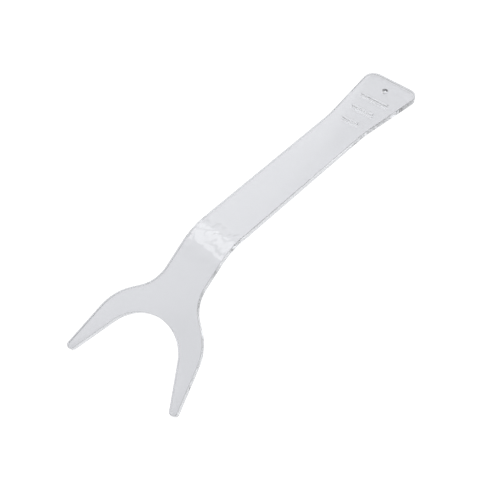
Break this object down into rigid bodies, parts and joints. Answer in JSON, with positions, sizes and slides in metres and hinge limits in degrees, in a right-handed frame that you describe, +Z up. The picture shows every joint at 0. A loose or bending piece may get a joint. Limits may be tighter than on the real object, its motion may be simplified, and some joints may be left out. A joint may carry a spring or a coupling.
{
  "type": "cheek retractor",
  "caption": "Clear one-piece cheek retractor: a rounded two-pronged fork on a bent neck, with a flat handle widening to a ridged grip with a hang hole.",
  "frame": {"origin": "centre of the bounding box's base, in the mirror plane, midway between the fork's tips and the handle's end", "axes": "+X from the fork's tips to the handle's end, +Y across the fork, +Z up out of the arched side"},
  "size_m": [0.17, 0.05, 0.0249],
  "materials": {
    "clear_plastic": "clear polished moulding with a slightly softened gloss at the bend"
  },
  "bodies": {
    "root": {"retractor": "clear_plastic"}
  },
  "joints": []
}
